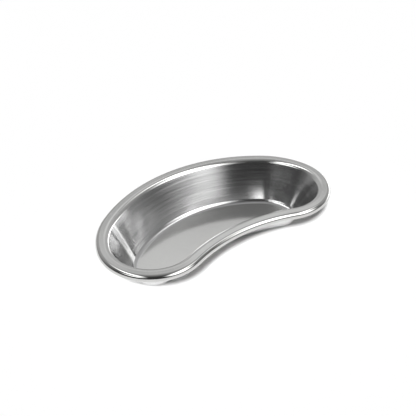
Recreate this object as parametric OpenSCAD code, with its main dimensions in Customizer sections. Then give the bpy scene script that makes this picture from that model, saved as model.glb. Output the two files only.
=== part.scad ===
// Kidney dish: a deep-drawn stainless steel dish with a flat flange and a
// hollow rolled edge, split into the four zones that the press tools make.
//
// Frame: the origin is under the middle of the dish, on the plane that it
// stands on. +Z is up, +X runs along the length, and the hollow waist faces
// -Y. Units are millimetres.
//
// Seen from above, the outline is a chain of tangent arcs: one back arc, two
// shoulders, two tips and one hollow waist. The sheet's section is drawn once,
// as inset from that outline against height, and is turned round each arc's
// own centre. Neighbouring arcs meet along the directions of whole-number
// triangles, so their centres come out as round numbers and the arcs join
// without a step.

/* [Outline] */
// Radius of the two round tips
tip_r = 51; // [48:1:54]
// Radius of the fuller shoulders between the back and the tips
shoulder_r = 76.5; // [70:0.5:82]
// Radius of the hollow waist
waist_r = 159; // [150:3:168]

/* [Height and sheet] */
// Height from the base to the crest of the rim
dish_h = 40; // [34:1:44]
// Thickness of the steel sheet
sheet = 0.7; // [0.5:0.1:1]

/* [Rim] */
// Width from the outermost edge to the start of the bend into the wall
flange_w = 7.3; // [6.5:0.1:9]
// Fall of the flange towards its outer edge, in degrees
flange_fall = 4; // [0:1:8]
// Outer radius of the rolled edge
curl_r = 3.8; // [3:0.1:4.2]
// How far round the edge is rolled, in degrees
curl_wrap = 296; // [250:2:300]
// Radius of the bend from the flange into the wall
rim_bend_r = 6; // [4:0.5:7]

/* [Bowl] */
// Distance in from the outline to the edge of the flat floor
floor_inset = 36; // [34:1:39]
// Radius of the bend from the wall into the floor
base_bend_r = 6; // [4:0.5:9]

/* [Hidden] */

// Facets in a full turn of the outline, and steps in each bend of the section
$fn = 180;
base_bend_steps = 10;
rim_bend_steps = 8;
curl_steps = 32;

SATIN_FLOOR = [0.66, 0.66, 0.65];
BRUSHED_WALL = [0.58, 0.58, 0.59];
SATIN_FLANGE = [0.70, 0.70, 0.69];
BRIGHT_EDGE = [0.84, 0.84, 0.83];

// --- Outline, seen from above ----------------------------------------------
// Directions out from the arcs' centres to where neighbouring arcs meet, on
// the right-hand side: a 3-4-5, a 7-24-25 and a 44-117-125 triangle
TO_SHOULDER = [0.6, 0.8];
TO_TIP = [0.96, 0.28];
TO_WAIST = [0.352, 0.936];

tip_x = (tip_r + waist_r) * TO_WAIST.x;
shoulder_step = (shoulder_r - tip_r) * TO_TIP;
back_step = (tip_x - shoulder_step.x) / TO_SHOULDER.x * TO_SHOULDER;
back_r = shoulder_r + norm(back_step);

// Half of the width across the outline, and the height along Y of the tips'
// centres, with the middle of that width on the X axis
back_below_tip = shoulder_step.y + back_step.y;
half_w = (back_r - back_below_tip + tip_r) / 2;
tip_y = tip_r - half_w;

TIP = [tip_x, tip_y];
SHOULDER = TIP - shoulder_step;
BACK = [0, tip_y - back_below_tip];
WAIST = [0, tip_y - (tip_r + waist_r) * TO_WAIST.y];

// --- Section of the sheet: [inset from the outline, height] ------------------
function dir(angle) = [cos(angle), sin(angle)];

// Directions that the upper face of the flange and of the wall look in
flange_face = 90 + flange_fall;
BEND = [flange_w - rim_bend_r * cos(flange_face), dish_h - rim_bend_r];
BASE_BEND = [floor_inset, sheet + base_bend_r];
bend_gap = BASE_BEND - BEND;
wall_face = atan2(bend_gap.y, bend_gap.x) + acos((rim_bend_r + base_bend_r) / norm(bend_gap));

WALL_TOP = BEND + rim_bend_r * dir(wall_face);
FLANGE_IN = BEND + rim_bend_r * dir(flange_face);
flange_out_x = curl_r * (1 + cos(flange_face));
flange_drop = (FLANGE_IN.x - flange_out_x) * tan(flange_fall);
FLANGE_OUT = [flange_out_x, FLANGE_IN.y - flange_drop];
CURL = FLANGE_OUT - curl_r * dir(flange_face);

// Points along a round bend, from one direction to another
function bend_points(centre, r, from, to, steps) =
    [for (i = [0:steps]) centre + r * dir(from + (to - from) * i / steps)];

function reversed(points) = [for (i = [len(points) - 1:-1:0]) points[i]];

// The band of sheet between its two faces, both listed in the same direction
module sheet_band(upper, lower) {
    polygon(concat(upper, reversed(lower)));
}

module wall_section() {
    sheet_band(
        concat(
            bend_points(BASE_BEND, base_bend_r, 270, 180 + wall_face, base_bend_steps),
            [WALL_TOP]
        ),
        concat(
            bend_points(BASE_BEND, base_bend_r + sheet, 270, 180 + wall_face, base_bend_steps),
            [WALL_TOP - sheet * dir(wall_face)]
        )
    );
}

module flange_section() {
    sheet_band(
        concat(
            bend_points(BEND, rim_bend_r, wall_face, flange_face, rim_bend_steps),
            [FLANGE_OUT]
        ),
        concat(
            bend_points(BEND, rim_bend_r - sheet, wall_face, flange_face, rim_bend_steps),
            [FLANGE_OUT - sheet * dir(flange_face)]
        )
    );
}

module curl_section() {
    curl_end = flange_face + curl_wrap;
    sheet_band(
        bend_points(CURL, curl_r, flange_face, curl_end, curl_steps),
        bend_points(CURL, curl_r - sheet, flange_face, curl_end, curl_steps)
    );
}

// --- Turning a section round the outline --------------------------------------
module both_ends() {
    children();
    mirror([1, 0, 0])
        children();
}

// A slice of the plan from a centre at the origin, between two directions
module slice(from, to, r) {
    between = (from + to) / norm(from + to);
    polygon([[0, 0], 3 * r * from, 3 * r * between, 3 * r * to]);
}

// The section turned round one arc that bulges outwards
module turn_round(centre, r, from, to) {
    translate(centre)
        intersection() {
            rotate_extrude()
                translate([r, 0])
                    mirror([1, 0])
                        children();
            linear_extrude(2 * dish_h, center = true)
                slice(from, to, r);
        }
}

// The section turned round the hollow arc of the waist
module turn_hollow(centre, r, from, to) {
    translate(centre)
        intersection() {
            rotate_extrude()
                translate([r, 0])
                    children();
            linear_extrude(2 * dish_h, center = true)
                slice(from, to, r + floor_inset);
        }
}

function flipped(v) = [-v.x, v.y];

module round_outline() {
    turn_round(BACK, back_r, TO_SHOULDER, flipped(TO_SHOULDER))
        children();
    both_ends()
        turn_round(SHOULDER, shoulder_r, TO_TIP, TO_SHOULDER)
            children();
    both_ends()
        turn_round(TIP, tip_r, -TO_WAIST, TO_TIP)
            children();
    turn_hollow(WAIST, waist_r, TO_WAIST, flipped(TO_WAIST))
        children();
}

// --- Filling the plan inside the outline ----------------------------------------
// The part of a round arc's disc between two directions
module disc_slice(centre, r, from, to) {
    translate(centre)
        intersection() {
            circle(r);
            slice(from, to, r);
        }
}

// The whole plan at an inset from the outline. The waist is cut from the
// slices behind it, and only touches the slices of the tips.
module plan(inset) {
    both_ends()
        disc_slice(TIP, tip_r - inset, -TO_WAIST, TO_TIP);
    difference() {
        union() {
            polygon([WAIST, TIP, flipped(TIP)]);
            disc_slice(BACK, back_r - inset, TO_SHOULDER, flipped(TO_SHOULDER));
            both_ends()
                disc_slice(SHOULDER, shoulder_r - inset, TO_TIP, TO_SHOULDER);
        }
        translate(WAIST)
            circle(waist_r + inset);
    }
}

// --- Nodes ---------------------------------------------------------------------
// Flat floor that the dish stands on
module floor_pan() {
    color(SATIN_FLOOR)
        linear_extrude(sheet)
            plan(floor_inset);
}

// Leaning wall with the round bend at its foot
module side_wall() {
    color(BRUSHED_WALL)
        round_outline()
            wall_section();
}

// Flat flange with the bend that leads down into the wall
module rim_flange() {
    color(SATIN_FLANGE)
        round_outline()
            flange_section();
}

// Hollow edge, rolled outwards and under from the flange
module rolled_edge() {
    color(BRIGHT_EDGE)
        round_outline()
            curl_section();
}

floor_pan();
side_wall();
rim_flange();
rolled_edge();
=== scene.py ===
"""Kidney dish in stainless steel, on a pale floor under soft studio light.

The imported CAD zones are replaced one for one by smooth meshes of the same
section and outline, so that the polished sheet reflects without facets.
"""

import math

import bpy
import numpy as np
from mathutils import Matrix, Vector
from mathutils.geometry import delaunay_2d_cdt


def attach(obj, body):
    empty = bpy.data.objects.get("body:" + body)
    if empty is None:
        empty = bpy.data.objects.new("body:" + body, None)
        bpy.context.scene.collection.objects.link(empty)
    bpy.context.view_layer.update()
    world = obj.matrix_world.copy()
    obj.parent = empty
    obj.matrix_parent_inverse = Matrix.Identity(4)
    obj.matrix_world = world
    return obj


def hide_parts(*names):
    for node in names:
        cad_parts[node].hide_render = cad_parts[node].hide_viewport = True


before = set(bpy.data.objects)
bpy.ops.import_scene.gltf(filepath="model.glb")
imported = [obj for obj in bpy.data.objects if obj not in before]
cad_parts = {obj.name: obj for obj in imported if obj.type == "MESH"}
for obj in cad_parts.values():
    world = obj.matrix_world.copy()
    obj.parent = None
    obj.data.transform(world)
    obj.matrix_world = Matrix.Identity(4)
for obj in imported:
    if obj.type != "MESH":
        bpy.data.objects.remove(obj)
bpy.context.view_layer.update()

MM = 0.001

# --- Sizes, as in the CAD part ---------------------------------------------
TIP_R = 51 * MM
SHOULDER_R = 76.5 * MM
WAIST_R = 159 * MM
SHEET = 0.7 * MM
DISH_H = 40 * MM
FLANGE_W = 7.3 * MM
FLANGE_FALL = math.radians(4)
CURL_R = 3.8 * MM
CURL_WRAP = math.radians(296)
RIM_BEND_R = 6 * MM
FLOOR_INSET = 36 * MM
BASE_BEND_R = 6 * MM

# Directions from the arcs' centres to where neighbouring arcs meet
TO_SHOULDER = np.array([0.6, 0.8])
TO_TIP = np.array([0.96, 0.28])
TO_WAIST = np.array([0.352, 0.936])

# Mesh steps: length along the outline, turn along a bend of the section, steps
# up the wall and across the flange, the spacing of the points inside the
# floor, and how near two of them count as one
STEP = 1.8 * MM
BEND_STEP = math.radians(5)
WALL_STEPS = 12
FLANGE_STEPS = 3
FLOOR_GRID = 3 * MM
SAME_POINT = 1e-7


# --- Outline ------------------------------------------------------------------
def direction(angle):
    return np.array([math.cos(angle), math.sin(angle)])


def angle_of(v):
    return math.atan2(v[1], v[0])


def outline_arcs():
    """The arcs anticlockwise from the right-hand shoulder: centre, radius,
    the angles from the centre that it starts and ends at, and 1, or -1 where
    the outline is hollow and the arc runs clockwise."""
    tip_x = (TIP_R + WAIST_R) * TO_WAIST[0]
    shoulder_step = (SHOULDER_R - TIP_R) * TO_TIP
    back_step = (tip_x - shoulder_step[0]) / TO_SHOULDER[0] * TO_SHOULDER
    back_r = SHOULDER_R + np.linalg.norm(back_step)
    below_tip = shoulder_step[1] + back_step[1]
    half_w = (back_r - below_tip + TIP_R) / 2
    tip = np.array([tip_x, TIP_R - half_w])
    shoulder = tip - shoulder_step
    back = np.array([0.0, tip[1] - below_tip])
    waist = np.array([0.0, tip[1] - (TIP_R + WAIST_R) * TO_WAIST[1]])
    flip = np.array([-1.0, 1.0])
    to_tip = angle_of(TO_TIP)
    to_shoulder = angle_of(TO_SHOULDER)
    to_waist = angle_of(TO_WAIST)
    half_turn = math.pi
    return [
        (shoulder, SHOULDER_R, to_tip, to_shoulder, 1),
        (back, back_r, to_shoulder, half_turn - to_shoulder, 1),
        (shoulder * flip, SHOULDER_R, half_turn - to_shoulder, half_turn - to_tip, 1),
        (tip * flip, TIP_R, half_turn - to_tip, 2 * half_turn - to_waist, 1),
        (waist, WAIST_R, half_turn - to_waist, to_waist, -1),
        (tip, TIP_R, to_waist - half_turn, to_tip, 1),
    ]


def sample_outline():
    """Points round the outline, their outward directions, and the distance
    run so far at each, with the length of the whole outline."""
    points, outwards, runs = [], [], []
    run = 0.0
    for centre, r, start, end, bulge in outline_arcs():
        length = r * abs(end - start)
        steps = round(length / STEP)
        for i in range(steps):
            out = direction(start + (end - start) * i / steps)
            points.append(centre + r * out)
            outwards.append(bulge * out)
            runs.append(run + length * i / steps)
        run += length
    return np.array(points), np.array(outwards), np.array(runs), run


OUTLINE, OUTWARD, RUN, OUTLINE_LENGTH = sample_outline()


# --- Section of the sheet: inset from the outline, and height ------------------
def section_centres():
    """Centres of the curl and of the two bends, and the directions that the
    upper faces of the flange and of the wall look in, as section angles."""
    flange_face = math.pi / 2 + FLANGE_FALL
    bend = np.array([FLANGE_W - RIM_BEND_R * math.cos(flange_face), DISH_H - RIM_BEND_R])
    base = np.array([FLOOR_INSET, SHEET + BASE_BEND_R])
    gap = base - bend
    wall_face = angle_of(gap) + math.acos((RIM_BEND_R + BASE_BEND_R) / np.linalg.norm(gap))
    flange_in = bend + RIM_BEND_R * direction(flange_face)
    flange_out_x = CURL_R * (1 + math.cos(flange_face))
    drop = (flange_in[0] - flange_out_x) * math.tan(FLANGE_FALL)
    flange_out = np.array([flange_out_x, flange_in[1] - drop])
    curl = flange_out - CURL_R * direction(flange_face)
    return curl, bend, base, flange_face, wall_face


CURL, RIM_BEND, BASE_BEND, FLANGE_FACE, WALL_FACE = section_centres()


def bend_run(centre, r, start, end, facing):
    """Points along a bend from one section angle to another, with normals
    away from the centre, or towards it when facing is -1."""
    steps = max(2, round(abs(end - start) / BEND_STEP))
    turns = [start + (end - start) * i / steps for i in range(steps + 1)]
    return [(centre + r * direction(a), facing * direction(a)) for a in turns]


def straight_run(a, b, normal, steps):
    return [(a + (b - a) * i / steps, normal) for i in range(steps + 1)]


def join(first, second):
    """Two runs of section points, with their shared end kept once."""
    return first + second[1:]


def band(upper, lower):
    """The sides of a closed section, in order round it, from its upper and
    lower faces, which are listed the same way."""
    out_last = upper[-1][0] - upper[-2][0]
    out_first = upper[0][0] - upper[1][0]
    cap_last = out_last / np.linalg.norm(out_last)
    cap_first = out_first / np.linalg.norm(out_first)
    return [
        upper,
        [(upper[-1][0], cap_last), (lower[-1][0], cap_last)],
        lower[::-1],
        [(lower[0][0], cap_first), (upper[0][0], cap_first)],
    ]


def wall_section():
    face = direction(WALL_FACE)
    toe = 1.5 * math.pi
    foot = math.pi + WALL_FACE
    top = RIM_BEND + RIM_BEND_R * face
    low = BASE_BEND - BASE_BEND_R * face
    upper = join(
        bend_run(BASE_BEND, BASE_BEND_R, toe, foot, -1),
        straight_run(low, top, face, WALL_STEPS),
    )
    lower = join(
        bend_run(BASE_BEND, BASE_BEND_R + SHEET, toe, foot, 1),
        straight_run(low - SHEET * face, top - SHEET * face, -face, WALL_STEPS),
    )
    return band(upper, lower)


def flange_section():
    face = direction(FLANGE_FACE)
    inner = RIM_BEND + RIM_BEND_R * face
    outer = CURL + CURL_R * face
    upper = join(
        bend_run(RIM_BEND, RIM_BEND_R, WALL_FACE, FLANGE_FACE, 1),
        straight_run(inner, outer, face, FLANGE_STEPS),
    )
    lower = join(
        bend_run(RIM_BEND, RIM_BEND_R - SHEET, WALL_FACE, FLANGE_FACE, -1),
        straight_run(inner - SHEET * face, outer - SHEET * face, -face, FLANGE_STEPS),
    )
    return band(upper, lower)


def curl_section():
    end = FLANGE_FACE + CURL_WRAP
    upper = bend_run(CURL, CURL_R, FLANGE_FACE, end, 1)
    lower = bend_run(CURL, CURL_R - SHEET, FLANGE_FACE, end, -1)
    return band(upper, lower)


# --- Meshes --------------------------------------------------------------------
def run_along(side):
    """Distance run along a side of a section at each of its points."""
    points = np.array([point for point, _ in side])
    steps = np.linalg.norm(np.diff(points, axis=0), axis=1)
    return np.concatenate([[0.0], np.cumsum(steps)])


def place(i, point):
    """A section point at outline sample i, in the row frame."""
    flat = OUTLINE[i] - OUTWARD[i] * point[0]
    return (flat[0], flat[1], point[1])


def turn(i, normal):
    """A section normal at outline sample i, in the row frame."""
    flat = -OUTWARD[i] * normal[0]
    return (flat[0], flat[1], normal[1])


def swept_band(name, sides):
    """The closed band that a section leaves when it runs round the outline.
    Its UV map is in metres: u along the outline, v along the section."""
    count = len(OUTLINE)
    ring = sum(len(side) - 1 for side in sides)
    verts = [place(i, point) for i in range(count) for side in sides for point, _ in side[:-1]]
    faces, normals, uvs = [], [], []
    for i in range(count):
        j = (i + 1) % count
        u_i, u_j = RUN[i], RUN[j] or OUTLINE_LENGTH
        k = 0
        for side in sides:
            v = run_along(side)
            for s in range(len(side) - 1):
                low, high = side[s][1], side[s + 1][1]
                k_up = (k + 1) % ring
                faces.append((i * ring + k, i * ring + k_up, j * ring + k_up, j * ring + k))
                normals += [turn(i, low), turn(i, high), turn(j, high), turn(j, low)]
                uvs += [(u_i, v[s]), (u_i, v[s + 1]), (u_j, v[s + 1]), (u_j, v[s])]
                k += 1
    return finished_mesh(name, verts, faces, normals, uvs)


def floor_plate(name):
    """The flat floor inside the wall's bend, meshed with even triangles. Its
    UV map is in metres, along X and Y."""
    edge = [Vector(place(i, (FLOOR_INSET, 0.0))[:2]) for i in range(len(OUTLINE))]
    count = len(edge)
    xs = [p.x for p in edge]
    ys = [p.y for p in edge]
    inside = []
    row = 0
    y = min(ys)
    while y < max(ys):
        x = min(xs) + (row % 2) * FLOOR_GRID / 2
        while x < max(xs):
            point = Vector((x, y))
            if min((point - p).length for p in edge) > FLOOR_GRID / 2:
                inside.append(point)
            x += FLOOR_GRID
        y += FLOOR_GRID * math.sin(math.pi / 3)
        row += 1
    loop = [(i, (i + 1) % count) for i in range(count)]
    flat, _, triangles, *_ = delaunay_2d_cdt(edge + inside, loop, [], 1, SAME_POINT)
    total = len(flat)
    verts = [(p.x, p.y, SHEET) for p in flat] + [(p.x, p.y, 0.0) for p in flat]
    faces = [tuple(t) for t in triangles]
    faces += [tuple(total + k for k in reversed(t)) for t in triangles]
    normals = [(0, 0, 1)] * (3 * len(triangles)) + [(0, 0, -1)] * (3 * len(triangles))
    for i, j in loop:
        faces.append((i, total + i, total + j, j))
        out_i, out_j = turn(i, (-1.0, 0.0)), turn(j, (-1.0, 0.0))
        normals += [out_i, out_i, out_j, out_j]
    uvs = [verts[k][:2] for face in faces for k in face]
    return finished_mesh(name, verts, faces, normals, uvs)


def finished_mesh(name, verts, faces, normals, uvs):
    """A smooth-shaded object with exact normals, without points that no face
    uses."""
    used = sorted({k for face in faces for k in face})
    renumber = {k: n for n, k in enumerate(used)}
    mesh = bpy.data.meshes.new(name)
    mesh.from_pydata([verts[k] for k in used], [], [[renumber[k] for k in f] for f in faces])
    mesh.uv_layers.new(name="sheet").data.foreach_set("uv", np.ravel(uvs).astype(np.float32))
    mesh.shade_smooth()
    mesh.normals_split_custom_set(normals)
    obj = bpy.data.objects.new(name, mesh)
    bpy.context.scene.collection.objects.link(obj)
    return obj


# --- Node trees ------------------------------------------------------------------
class Nodes:
    """Short calls for building a node tree."""

    def __init__(self, tree):
        self.tree = tree

    def add(self, kind, **settings):
        node = self.tree.nodes.new(kind)
        for name, value in settings.items():
            setattr(node, name, value)
        return node

    def link(self, source, socket):
        """Feed a socket from another one, or set its value."""
        if isinstance(source, bpy.types.NodeSocket):
            self.tree.links.new(source, socket)
        else:
            socket.default_value = source

    def math(self, operation, *values):
        node = self.add("ShaderNodeMath", operation=operation)
        for value, socket in zip(values, node.inputs):
            self.link(value, socket)
        return node.outputs[0]

    def dot(self, vector, fixed):
        node = self.add("ShaderNodeVectorMath", operation="DOT_PRODUCT")
        self.link(vector, node.inputs[0])
        node.inputs[1].default_value = fixed
        return node.outputs["Value"]

    def fade(self, value, start, end, low=0.0, high=1.0):
        """A smooth step from low at start to high at end."""
        node = self.add("ShaderNodeMapRange", interpolation_type="SMOOTHSTEP")
        for socket, given in zip(node.inputs, (value, start, end, low, high)):
            self.link(given, socket)
        return node.outputs[0]

    def vary(self, middle, *changes):
        """A value round its middle, moved by patterns that run from 0 to 1.
        Each change is a pattern and how far it moves the value."""
        value = middle - sum(amount for _, amount in changes) / 2
        for pattern, amount in changes:
            value = self.math("MULTIPLY_ADD", pattern, amount, value)
        return value

    def noise(self, vector, detail=2.0):
        node = self.add("ShaderNodeTexNoise")
        node.inputs["Scale"].default_value = 1.0
        node.inputs["Detail"].default_value = detail
        self.link(vector, node.inputs["Vector"])
        return node.outputs["Fac"]


# --- Materials -------------------------------------------------------------------
QUARTER_TURN = 0.25

# Distances from the middle of the dish where the ripples start and are full
RIPPLES_START = 65 * MM
RIPPLES_FULL = 100 * MM


def steel(name, anisotropy):
    """A bare steel material with its lines along the sheet map's first axis."""
    material = bpy.data.materials.new(name)
    material.use_nodes = True
    nodes = Nodes(material.node_tree)
    shader = material.node_tree.nodes["Principled BSDF"]
    shader.inputs["Metallic"].default_value = 1.0
    shader.inputs["Anisotropic"].default_value = anisotropy
    shader.inputs["Anisotropic Rotation"].default_value = QUARTER_TURN
    tangent = nodes.add("ShaderNodeTangent", direction_type="UV_MAP", uv_map="sheet")
    nodes.link(tangent.outputs["Tangent"], shader.inputs["Tangent"])
    return material, nodes, shader


def finish_steel(nodes, shader, dark, light, tone, roughness, relief, depth):
    """Colour between a dark and a light tone, roughness, and a relief of a
    given depth in metres."""
    colour = nodes.add("ShaderNodeMix", data_type="RGBA")
    nodes.link(tone, colour.inputs["Factor"])
    nodes.link((*dark, 1), colour.inputs["A"])
    nodes.link((*light, 1), colour.inputs["B"])
    nodes.link(colour.outputs["Result"], shader.inputs["Base Color"])
    nodes.link(roughness, shader.inputs["Roughness"])
    bump = nodes.add("ShaderNodeBump")
    bump.inputs["Distance"].default_value = depth
    nodes.link(relief, bump.inputs["Height"])
    nodes.link(bump.outputs["Normal"], shader.inputs["Normal"])


def lines_round(nodes, along, across):
    """Coordinates for lines that run round the dish without a seam: along and
    across are how many pattern steps there are in a metre each way."""
    place_xyz = nodes.add("ShaderNodeSeparateXYZ")
    nodes.link(nodes.add("ShaderNodeTexCoord").outputs["Object"], place_xyz.inputs[0])
    sheet_uv = nodes.add("ShaderNodeSeparateXYZ")
    nodes.link(nodes.add("ShaderNodeUVMap", uv_map="sheet").outputs[0], sheet_uv.inputs[0])
    joined = nodes.add("ShaderNodeCombineXYZ")
    nodes.link(nodes.math("MULTIPLY", place_xyz.outputs["X"], along), joined.inputs["X"])
    nodes.link(nodes.math("MULTIPLY", place_xyz.outputs["Y"], along), joined.inputs["Y"])
    nodes.link(nodes.math("MULTIPLY", sheet_uv.outputs["Y"], across), joined.inputs["Z"])
    return joined.outputs[0]


def spread(nodes, x, y, z=1.0, turn_by=0.0):
    """Object coordinates, turned about Z and scaled to pattern steps a metre."""
    turned = nodes.add("ShaderNodeVectorRotate", rotation_type="Z_AXIS")
    nodes.link(nodes.add("ShaderNodeTexCoord").outputs["Object"], turned.inputs["Vector"])
    turned.inputs["Angle"].default_value = math.radians(turn_by)
    scaled = nodes.add("ShaderNodeVectorMath", operation="MULTIPLY")
    nodes.link(turned.outputs[0], scaled.inputs[0])
    scaled.inputs[1].default_value = (x, y, z)
    return scaled.outputs[0]


def scratches(nodes, directions):
    """Sparse hairline scratches of a few centimetres, from 0 to 1."""
    found = 0.0
    for angle in directions:
        lengthwise = nodes.noise(spread(nodes, 35, 1500, 35, angle), 0.0)
        found = nodes.math("MAXIMUM", found, nodes.fade(lengthwise, 0.72, 0.78))
    return found


def satin_floor():
    """Even satin: a fine grain, faint cloudiness and a few wiping scratches."""
    material, nodes, shader = steel("steel_floor", 0.0)
    grain = nodes.noise(spread(nodes, 1600, 1600, 1600), 3.0)
    clouds = nodes.noise(spread(nodes, 40, 40, 40), 3.0)
    marks = scratches(nodes, (12, 47, 81, 140))
    tone = nodes.vary(0.5, (grain, 0.9), (clouds, 0.5), (marks, 0.4))
    roughness = nodes.vary(0.15, (grain, 0.06), (clouds, 0.05), (marks, 0.05))
    relief = nodes.vary(0.5, (grain, 0.5), (marks, -0.2))
    finish_steel(nodes, shader, (0.65, 0.65, 0.64), (0.77, 0.77, 0.76), tone, roughness, relief, 0.002 * MM)
    return material


def tip_ripples(nodes):
    """Shallow ripples up the wall where the sheet was drawn round the tips."""
    sheet_uv = nodes.add("ShaderNodeMapping")
    sheet_uv.inputs["Scale"].default_value = (90, 6, 1)
    nodes.link(nodes.add("ShaderNodeUVMap", uv_map="sheet").outputs[0], sheet_uv.inputs["Vector"])
    place_xyz = nodes.add("ShaderNodeSeparateXYZ")
    nodes.link(nodes.add("ShaderNodeTexCoord").outputs["Object"], place_xyz.inputs[0])
    off_middle = nodes.math("ABSOLUTE", place_xyz.outputs["X"])
    ripples = nodes.noise(sheet_uv.outputs[0], 2.0)
    return nodes.math("MULTIPLY", ripples, nodes.fade(off_middle, RIPPLES_START, RIPPLES_FULL))


def brushed_wall():
    """Brushed round the bowl, with broader bands left by the polishing wheel
    and the slight waviness and ripples of a drawn wall."""
    material, nodes, shader = steel("steel_wall", 0.8)
    hairlines = nodes.noise(lines_round(nodes, 40, 4000), 2.0)
    bands = nodes.noise(lines_round(nodes, 12, 440), 3.0)
    waves = nodes.noise(spread(nodes, 28, 28, 28), 1.0)
    tone = nodes.vary(0.5, (hairlines, 0.8), (bands, 1.3))
    roughness = nodes.vary(0.16, (hairlines, 0.06), (bands, 0.10))
    relief = nodes.vary(0.5, (hairlines, 0.005), (bands, 0.013), (waves, 0.18), (tip_ripples(nodes), 0.8))
    finish_steel(nodes, shader, (0.59, 0.59, 0.59), (0.78, 0.78, 0.78), tone, roughness, relief, 0.4 * MM)
    return material


def satin_flange():
    """Satin with short faint lines round the rim."""
    material, nodes, shader = steel("steel_flange", 0.0)
    hairlines = nodes.noise(lines_round(nodes, 60, 3000), 2.0)
    clouds = nodes.noise(spread(nodes, 55, 55, 55), 3.0)
    marks = scratches(nodes, (25, 110))
    tone = nodes.vary(0.5, (hairlines, 0.7), (clouds, 0.6), (marks, 0.5))
    roughness = nodes.vary(0.18, (hairlines, 0.05), (clouds, 0.06), (marks, 0.08))
    relief = nodes.vary(0.5, (hairlines, 0.5), (clouds, 0.5))
    finish_steel(nodes, shader, (0.72, 0.72, 0.71), (0.84, 0.84, 0.83), tone, roughness, relief, 0.004 * MM)
    return material


def bright_edge():
    """Smoother than the rest, with drawn lines and small handling marks."""
    material, nodes, shader = steel("steel_edge", 0.0)
    hairlines = nodes.noise(lines_round(nodes, 50, 2500), 2.0)
    handling = nodes.noise(spread(nodes, 160, 160, 160), 3.0)
    nicks = nodes.fade(handling, 0.66, 0.74)
    tone = nodes.vary(0.5, (hairlines, 0.7), (handling, 0.6))
    roughness = nodes.vary(0.08, (hairlines, 0.04), (handling, 0.04), (nicks, 0.10))
    relief = nodes.vary(0.5, (hairlines, 0.3), (nicks, -0.6))
    finish_steel(nodes, shader, (0.56, 0.56, 0.55), (0.68, 0.68, 0.67), tone, roughness, relief, 0.006 * MM)
    return material


def dress(piece, node, material):
    piece.data.materials.append(material)
    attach(piece, "root")
    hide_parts(node)


dress(floor_plate("dish_floor"), "floor_pan", satin_floor())
dress(swept_band("dish_wall", wall_section()), "side_wall", brushed_wall())
dress(swept_band("dish_flange", flange_section()), "rim_flange", satin_flange())
dress(swept_band("dish_rolled_edge", curl_section()), "rolled_edge", bright_edge())


# --- Stage, light and camera --------------------------------------------------------
def pale_floor():
    """A wide pale floor, a hair below the dish."""
    half = 4.0
    below = 0.05 * MM
    corners = [(-half, -half, -below), (half, -half, -below), (half, half, -below), (-half, half, -below)]
    mesh = bpy.data.meshes.new("stage_floor")
    mesh.from_pydata(corners, [], [(0, 1, 2, 3)])
    floor = bpy.data.objects.new("stage_floor", mesh)
    bpy.context.scene.collection.objects.link(floor)
    material = bpy.data.materials.new("stage_floor")
    material.use_nodes = True
    shader = material.node_tree.nodes["Principled BSDF"]
    shader.inputs["Base Color"].default_value = (0.9, 0.9, 0.9, 1)
    shader.inputs["Specular IOR Level"].default_value = 0
    mesh.materials.append(material)


pale_floor()


def towards(azimuth, elevation):
    """The direction at an azimuth and elevation in degrees. Azimuth 0 is the
    waist's side of the dish, and 90 its right-hand end."""
    a, e = math.radians(azimuth), math.radians(elevation)
    return Vector((math.sin(a) * math.cos(e), -math.cos(a) * math.cos(e), math.sin(e)))


def floor_lamp(name, azimuth, elevation, spread, strength):
    """A far lamp that lights the pale floor and leaves the steel alone."""
    data = bpy.data.lights.new(name, "SUN")
    data.angle = math.radians(spread)
    data.energy = strength
    lamp = bpy.data.objects.new(name, data)
    lamp.visible_glossy = False
    lamp.rotation_mode = "QUATERNION"
    lamp.rotation_quaternion = towards(azimuth, elevation).to_track_quat("Z", "Y")
    bpy.context.scene.collection.objects.link(lamp)


# Soft boxes round the dish, as it sees them: azimuth and elevation of the
# middle, width and height across, all in degrees, and brightness. Each stands
# near the direction in which the surface named above it mirrors the camera.
SOFT_BOXES = {
    # in the middle of the back wall
    "key": (22, 36, 36, 30, 3),
    # in the bends above and below the back wall, and along the waist's edge
    "key_high": (50, 62, 45, 8, 3.5),
    # along the rolled edge at the left end and at the front
    "top": (245, 68, 50, 8, 4),
    # up the wall of the right end
    "left": (285, 40, 30, 8, 4),
    # in the left end
    "right": (100, 3, 40, 10, 5),
    # in the floor and on the flange
    "rear": (144, 42, 25, 8, 0.35),
}
# How far a soft box fades to its sides, as a share of its half width, and at
# its top and bottom, as a slope
SIDE_FADE = 0.8
EDGE_FADE = 0.1

# The faint light from all round, and the wash added round one direction,
# which fades out between two angles from it
AMBIENT = 0.05
WASH = 0.45
REAR_WASH = (144, 10)
WASH_FADE = (math.radians(30), math.radians(120))


def soft_box(nodes, view, azimuth, elevation, width, height):
    """How much of a soft box is seen along a direction, from 0 to 1."""
    a = math.radians(azimuth)
    middle = towards(azimuth, elevation)
    across = Vector((math.cos(a), math.sin(a), 0))
    up = across.cross(middle)
    depth = nodes.dot(view, middle)
    reach = math.tan(math.radians(width / 2))
    rise = math.tan(math.radians(height / 2))
    seen = nodes.math("GREATER_THAN", depth, 0)
    for axis, half, soft in ((across, reach, SIDE_FADE * reach), (up, rise, EDGE_FADE)):
        off = nodes.math("ABSOLUTE", nodes.math("DIVIDE", nodes.dot(view, axis), depth))
        seen = nodes.math("MULTIPLY", seen, nodes.fade(off, half + soft, half - soft))
    return seen


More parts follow.
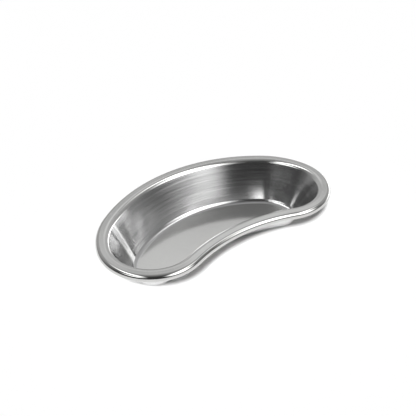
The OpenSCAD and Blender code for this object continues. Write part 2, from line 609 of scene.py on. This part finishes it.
def studio_light():
    """Soft boxes, a wide wash of light from the rear and a faint level all
    round, which only the steel reflects. The camera sees a plain pale room."""
    world = bpy.data.worlds.new("studio")
    world.use_nodes = True
    nodes = Nodes(world.node_tree)
    view = nodes.add("ShaderNodeTexCoord").outputs["Generated"]
    turn_away = nodes.math("ARCCOSINE", nodes.dot(view, towards(*REAR_WASH)))
    light = nodes.fade(turn_away, *WASH_FADE, AMBIENT + WASH, AMBIENT)
    for azimuth, elevation, width, height, brightness in SOFT_BOXES.values():
        seen = soft_box(nodes, view, azimuth, elevation, width, height)
        light = nodes.math("MULTIPLY_ADD", seen, brightness, light)
    camera = nodes.add("ShaderNodeLightPath").outputs["Is Camera Ray"]
    shown = nodes.add("ShaderNodeMix", data_type="FLOAT")
    nodes.link(camera, shown.inputs["Factor"])
    nodes.link(light, shown.inputs["A"])
    nodes.link(1.0, shown.inputs["B"])
    background = world.node_tree.nodes["Background"]
    nodes.link(shown.outputs["Result"], background.inputs["Strength"])
    background.inputs["Color"].default_value = (1, 1, 1, 1)
    world.cycles_visibility.diffuse = False
    bpy.context.scene.world = world


studio_light()
floor_lamp("floor_key", azimuth=-43, elevation=46, spread=7, strength=4.5)
floor_lamp("floor_fill", azimuth=0, elevation=90, spread=150, strength=0.25)

# The camera's direction from the point that it aims at, in degrees, and its
# distance. Lens and sensor are in millimetres.
CAMERA_AZIMUTH = -35.7
CAMERA_ELEVATION = 36.5
CAMERA_DISTANCE = 709.3 * MM
CAMERA_AIM = Vector((24.5, 35.3, 0)) * MM
CAMERA_LENS = 58.6
CAMERA_SENSOR = 36


def studio_camera():
    data = bpy.data.cameras.new("camera")
    data.lens = CAMERA_LENS
    data.sensor_width = CAMERA_SENSOR
    camera = bpy.data.objects.new("camera", data)
    bpy.context.scene.collection.objects.link(camera)
    back = towards(CAMERA_AZIMUTH, CAMERA_ELEVATION)
    camera.location = CAMERA_AIM + back * CAMERA_DISTANCE
    camera.rotation_mode = "QUATERNION"
    camera.rotation_quaternion = (-back).to_track_quat("-Z", "Y")
    bpy.context.scene.camera = camera


studio_camera()
bpy.context.scene.view_settings.view_transform = "Standard"
